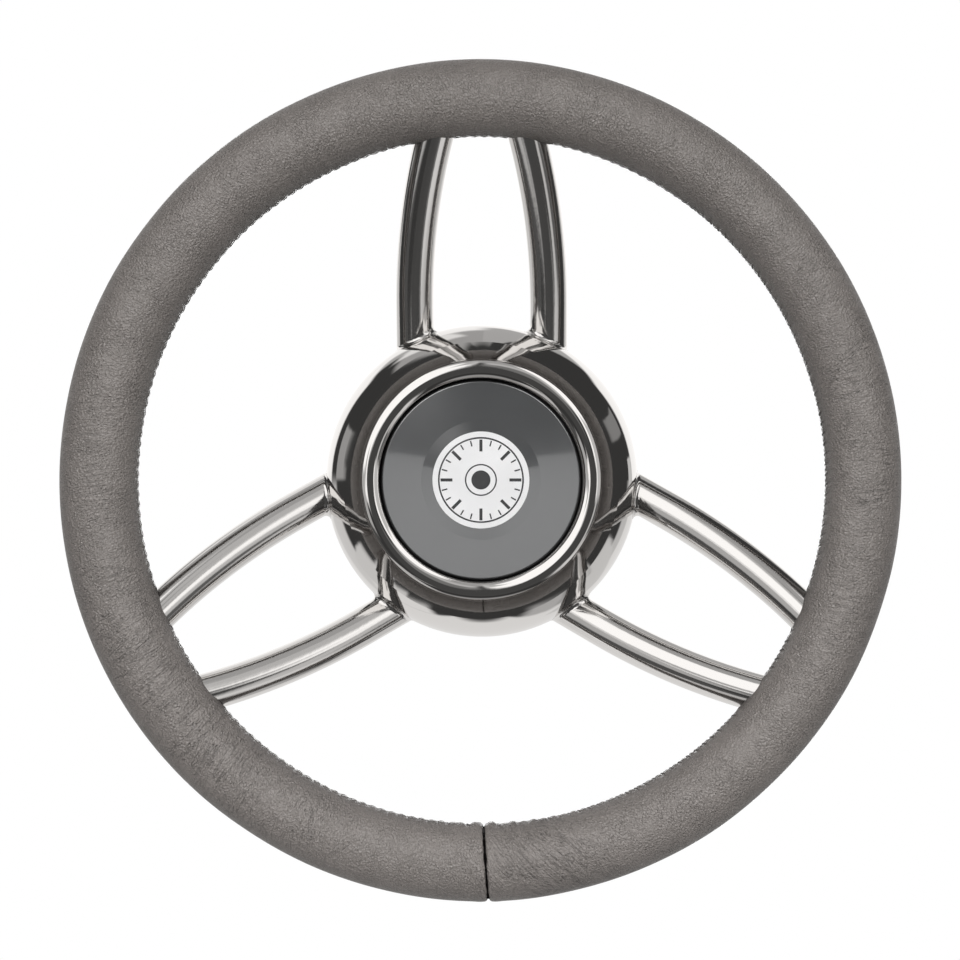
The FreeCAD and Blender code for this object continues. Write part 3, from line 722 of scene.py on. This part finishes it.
def waxedThread():
    # waxed polyester thread dyed to the leather's grey, with a twist that catches light; its colour is painted
    # lighter where the twist is high and darker where it is low, as painted light and shade
    material, tree = newMaterial("waxedThread")
    twist = addNode(tree, "ShaderNodeTexNoise", links={
        "Vector": placeOf(tree), "Scale": 1 / (thread["twistSize"] * mm), "Detail": 1.0})
    bump = addNode(tree, "ShaderNodeBump", links={
        "Distance": thread["twistHeight"] * mm, "Height": twist.outputs[0]})
    # painted light and shade that follow the twist's height
    shade = addNode(tree, "ShaderNodeMapRange", links={
        0: twist.outputs[0], 3: 1 - thread["twistShade"], 4: 1 + thread["twistShade"]})
    mixed = addNode(tree, "ShaderNodeVectorMath", {"operation": "SCALE"},
                    {0: linearColour(thread["colour"])[:3], "Scale": shade.outputs[0]})
    shader = addNode(tree, "ShaderNodeBsdfPrincipled", links={
        "Base Color": mixed.outputs[0], "Roughness": thread["roughness"], "Normal": bump.outputs[0]})
    finishMaterial(tree, shader)
    return material


def stitchTree(material):
    # points round the joint, apart from where tubes enter, each with one bent and slanted length of thread
    tree = bpy.data.node_groups.new("stitchesRoundJoint", "GeometryNodeTree")
    tree.interface.new_socket("Count", in_out="INPUT", socket_type="NodeSocketInt")
    for name in ("Rim Radius", "Rim Depth", "Section Radius", "Thread Radius", "Spread", "Slant", "Tube Turn",
                 "Tube Clear"):
        tree.interface.new_socket(name, in_out="INPUT", socket_type="NodeSocketFloat")
    tree.interface.new_socket("Geometry", in_out="OUTPUT", socket_type="NodeSocketGeometry")
    known = dict(addNode(tree, "NodeGroupInput").outputs.items())
    # how far along its stitch a point is, from 0 to 1, and the stitch's number
    known["part"] = addNode(tree, "GeometryNodeSplineParameter").outputs["Factor"]
    known["number"] = addNode(tree, "GeometryNodeInputIndex").outputs[0]
    third = fullTurn / 3
    sums = [
        # name, operation and inputs of each sum; an input is an earlier name or a plain number
        ("start", "SUBTRACT", math.pi, "Spread"), ("sweep", "MULTIPLY", "Spread", 2.0),
        # a stitch is sunk into the leather at its ends, and slanted
        ("centred", "MULTIPLY_ADD", "part", 2.0, -1.0), ("ends", "ABSOLUTE", "centred"),
        ("steep", "POWER", "ends", 5.0), ("sunk", "MULTIPLY_ADD", "steep", -0.085, 1.0),
        ("fromMiddle", "SUBTRACT", "part", 0.5), ("aside", "MULTIPLY", "fromMiddle", "Slant"),
        # its place round the wheel
        ("later", "ADD", "number", 0.5), ("share", "DIVIDE", "later", "Count"),
        ("turn", "MULTIPLY", "share", fullTurn),
        ("cosine", "COSINE", "turn"), ("across", "MULTIPLY", "cosine", "Rim Radius"),
        ("sine", "SINE", "turn"), ("upward", "MULTIPLY", "sine", "Rim Radius"),
        # its turn from the nearest tube; the tubes are in pairs, a third of a turn apart
        ("shifted", "SUBTRACT", "turn", third / 4), ("inThird", "FLOORED_MODULO", "shifted", third),
        ("offPair", "SUBTRACT", "inThird", third / 2), ("fromPair", "ABSOLUTE", "offPair"),
        ("offTube", "SUBTRACT", "fromPair", "Tube Turn"), ("fromTube", "ABSOLUTE", "offTube"),
    ]
    for name, operation, *inputs in sums:
        links = dict(enumerate(known[value] if isinstance(value, str) else value for value in inputs))
        known[name] = addNode(tree, "ShaderNodeMath", {"operation": operation}, links).outputs[0]

    # one stitch, bent round the section
    path = addNode(tree, "GeometryNodeCurveArc", {"mode": "RADIUS"}, {
        "Resolution": 13, "Radius": known["Section Radius"], "Start Angle": known["start"],
        "Sweep Angle": known["sweep"]})
    spot = addNode(tree, "GeometryNodeInputPosition").outputs[0]
    bent = addNode(tree, "ShaderNodeVectorMath", {"operation": "SCALE"}, {0: spot, "Scale": known["sunk"]})
    aside = addNode(tree, "ShaderNodeCombineXYZ", links={2: known["aside"]})
    laid = addNode(tree, "ShaderNodeVectorMath", {"operation": "ADD"}, {0: bent.outputs[0], 1: aside.outputs[0]})
    shaped = addNode(tree, "GeometryNodeSetPosition", links={
        "Geometry": path.outputs[0], "Position": laid.outputs[0]})
    ring = addNode(tree, "GeometryNodeCurvePrimitiveCircle", links={
        "Resolution": 8, "Radius": known["Thread Radius"]})
    cord = addNode(tree, "GeometryNodeCurveToMesh", links={
        "Curve": shaped.outputs[0], "Profile Curve": ring.outputs[0], "Fill Caps": True})
    smooth = addNode(tree, "GeometryNodeSetShadeSmooth", links={"Geometry": cord.outputs[0]})

    # the places, without those where a tube enters
    where = addNode(tree, "ShaderNodeCombineXYZ", links={
        0: known["across"], 1: known["Rim Depth"], 2: known["upward"]})
    spots = addNode(tree, "GeometryNodePoints", links={"Count": known["Count"], "Position": where.outputs[0]})
    close = addNode(tree, "FunctionNodeCompare", {"operation": "LESS_THAN"}, {
        0: known["fromTube"], 1: known["Tube Clear"]})
    kept = addNode(tree, "GeometryNodeDeleteGeometry", {"domain": "POINT"}, {
        "Geometry": spots.outputs[0], "Selection": close.outputs[0]})
    # the index restarts once points are deleted, so each stitch takes its turn from its place
    spot = addNode(tree, "GeometryNodeInputPosition").outputs[0]
    at = addNode(tree, "ShaderNodeSeparateXYZ", links={0: spot})
    bearing = addNode(tree, "ShaderNodeMath", {"operation": "ARCTAN2"}, {0: at.outputs[2], 1: at.outputs[0]})
    facing = addNode(tree, "ShaderNodeMath", {"operation": "MULTIPLY"}, {0: bearing.outputs[0], 1: -1.0})
    rotation = addNode(tree, "ShaderNodeCombineXYZ", links={1: facing.outputs[0]})
    placed = addNode(tree, "GeometryNodeInstanceOnPoints", links={
        "Points": kept.outputs[0], "Instance": smooth.outputs[0], "Rotation": rotation.outputs[0]})
    real = addNode(tree, "GeometryNodeRealizeInstances", links={"Geometry": placed.outputs[0]})
    finished = addNode(tree, "GeometryNodeSetMaterial", links={"Geometry": real.outputs[0], "Material": material})
    addNode(tree, "NodeGroupOutput", links={"Geometry": finished.outputs[0]})
    return tree


def meshFromTree(name, tree, values):
    # runs a node tree once and keeps its result as a plain mesh object
    holder = newObject(name + "_maker", bpy.data.meshes.new(name + "_start"))
    maker = holder.modifiers.new("maker", "NODES")
    maker.node_group = tree
    for item in tree.interface.items_tree:
        if item.in_out == "INPUT" and item.name in values:
            maker[item.identifier] = values[item.name]
    graph = bpy.context.evaluated_depsgraph_get()
    mesh = bpy.data.meshes.new_from_object(
        holder.evaluated_get(graph), preserve_all_data_layers=True, depsgraph=graph)
    holder.modifiers.remove(maker)
    bpy.data.objects.remove(holder)
    mesh.name = name
    return newObject(name, mesh)


def buildStitches():
    jointRadius = rimRadius - sectionRadius
    foot, way = tubeAxis("spoke_top_right")
    # where that tube's line crosses the joint's cylinder
    reach = np.hypot(foot[0], foot[2])
    crossing = foot + way * ((jointRadius - reach) / math.hypot(way[0], way[2]))
    tubeTurn = abs(math.atan2(crossing[0], crossing[2]))
    piece = meshFromTree("joint_stitches", stitchTree(waxedThread()), {
        "Count": stitching["count"], "Rim Radius": rimRadius, "Rim Depth": rimDepth,
        "Section Radius": sectionRadius + thread["lift"] * mm, "Thread Radius": thread["radius"] * mm,
        "Spread": math.radians(thread["spread"]), "Slant": stitching["slant"] * mm, "Tube Turn": tubeTurn,
        "Tube Clear": thread["tubeClear"] * mm / jointRadius})
    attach(piece, "wheel")
    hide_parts("rim_stitches")


# The camera: its lens in millimetres, its place and what it looks at
view = {"lens": 144.3, "eye": (0.02, -1.662, -0.02), "aim": (-0.0003, -0.062, -0.0001)}
lamps = {
    # name: place, size across and up, power in watts
    "lampLeft": ((-2.15, -4.6, 3.15), (3.0, 3.0), 185.0),
    "lampRight": ((2.15, -4.6, 3.0), (3.0, 3.0), 155.0),
    # straight behind, so that it lights only what the front view never shows
    "lampBehind": ((0.0, 2.4, 0.1), (1.2, 1.2), 45.0),
    # over the camera, there for the leather alone, whose sheen it makes
    "lampForGrip": ((0.0, -5.8, 1.8), (3.0, 3.0), 325.0),
    # a white sheet on the table lights the wheel's lowest part from below
    "sheetBelow": ((0.0, -0.35, -0.28), (0.7, 0.4), 0.5),
    # a white sheet below the camera, there for the cap and badge alone
    "sheetForCap": ((0.0, -1.75, -0.105), (0.72, 0.4), 1.75),
}
floor = {
    "height": -0.3, "size": 8.0, "colour": "#f3f2f0", "whiteNear": 0.9, "nearReach": 0.2, "farReach": 0.7,
    # the paper's grain, in millimetres
    "grainSize": 2.0, "grainHeight": 0.05,
}


def lookAt(thing, place, target):
    thing.location = place
    thing.rotation_mode = "QUATERNION"
    thing.rotation_quaternion = (Vector(target) - Vector(place)).to_track_quat("-Z", "Y")


def placeLamps(resin, grip):
    # metal and resin see the studio's cards and not the lamps; one lamp is for the grip and one for the cap
    mirrors = bpy.data.collections.new("mirrors")
    capSide = bpy.data.collections.new("capSide")
    gripSide = bpy.data.collections.new("gripSide")
    for part in frame["record"]["subparts"]:
        piece = nodes[part["node"]]
        if part["material_slot"] in ("polished_stainless", "plain_stainless", "clear_resin"):
            mirrors.objects.link(piece)
        elif part["node"] in frame["record"]["behaviour"]["bodies"]["cap"]:
            capSide.objects.link(piece)
    mirrors.objects.link(resin)
    gripSide.objects.link(grip)
    for piece in mirrors.collection_objects:
        piece.light_linking.link_state = "EXCLUDE"
    receivers = {"sheetForCap": capSide, "lampForGrip": gripSide}
    for name, (place, (across, up), power) in lamps.items():
        light = bpy.data.lights.new(name, "AREA")
        light.shape = "RECTANGLE"
        light.size = across
        light.size_y = up
        light.energy = power
        lamp = newObject(name, light)
        lookAt(lamp, place, (0, 0, place[2]) if name == "sheetForCap" else (0, rimDepth, 0))
        lamp.visible_camera = False
        lamp.light_linking.receiver_collection = receivers.get(name, mirrors)


def palePaper():
    # pale paper that the camera sees as white, with the soft shadow kept close by
    material, tree = newMaterial("palePaper")
    reach = addNode(tree, "ShaderNodeVectorMath", {"operation": "LENGTH"}, {0: placeOf(tree)})
    glowing = addNode(tree, "ShaderNodeMapRange", {"interpolation_type": "SMOOTHSTEP"}, {
        0: reach.outputs["Value"], 1: floor["nearReach"], 2: floor["farReach"], 3: floor["whiteNear"], 4: 1.0})
    share = addNode(tree, "ShaderNodeMath", {"operation": "MULTIPLY"}, {
        0: seenDirectly(tree), 1: glowing.outputs[0]})
    grain = addNode(tree, "ShaderNodeTexNoise", links={
        "Vector": placeOf(tree), "Scale": 1 / (floor["grainSize"] * mm), "Detail": 2.0})
    bump = addNode(tree, "ShaderNodeBump", links={
        "Strength": 0.3, "Distance": floor["grainHeight"] * mm, "Height": grain.outputs[0]})
    paper = addNode(tree, "ShaderNodeBsdfDiffuse", links={
        "Color": linearColour(floor["colour"]), "Normal": bump.outputs[0]})
    glow = addNode(tree, "ShaderNodeEmission", links={"Color": white, "Strength": 1.0})
    mixed = addNode(tree, "ShaderNodeMixShader", links={
        0: share.outputs[0], 1: paper.outputs[0], 2: glow.outputs[0]})
    finishMaterial(tree, mixed)
    return material


def buildStage(resin, grip):
    camera = newObject("camera", bpy.data.cameras.new("camera"))
    camera.data.lens = view["lens"]
    camera.data.sensor_width = 36
    lookAt(camera, view["eye"], view["aim"])
    bpy.context.scene.camera = camera
    placeLamps(resin, grip)
    half = floor["size"] / 2
    mesh = bpy.data.meshes.new("floor")
    mesh.from_pydata([(-half, -half, 0), (half, -half, 0), (half, half, 0), (-half, half, 0)], [], [(0, 1, 2, 3)])
    mesh.materials.append(palePaper())
    sheet = newObject("floor", mesh)
    sheet.location = (0, 0, floor["height"])
    sheet.visible_glossy = False    # the cards of the studio stand for it in mirrors


buildWorld()
print("stage 2: the studio is up")
dressNodes()
resin = buildResin()
print("stage 3: the frame's nodes are dressed")
sleevePiece = buildLeather(greyLeather())
print("stage 4: the leather is on")
buildStitches()
print("stage 5: the leather is sewn")
buildStage(resin, sleevePiece)
bpy.context.scene.view_settings.view_transform = "Standard"
print("stage 6: camera, lamps and floor are in place")
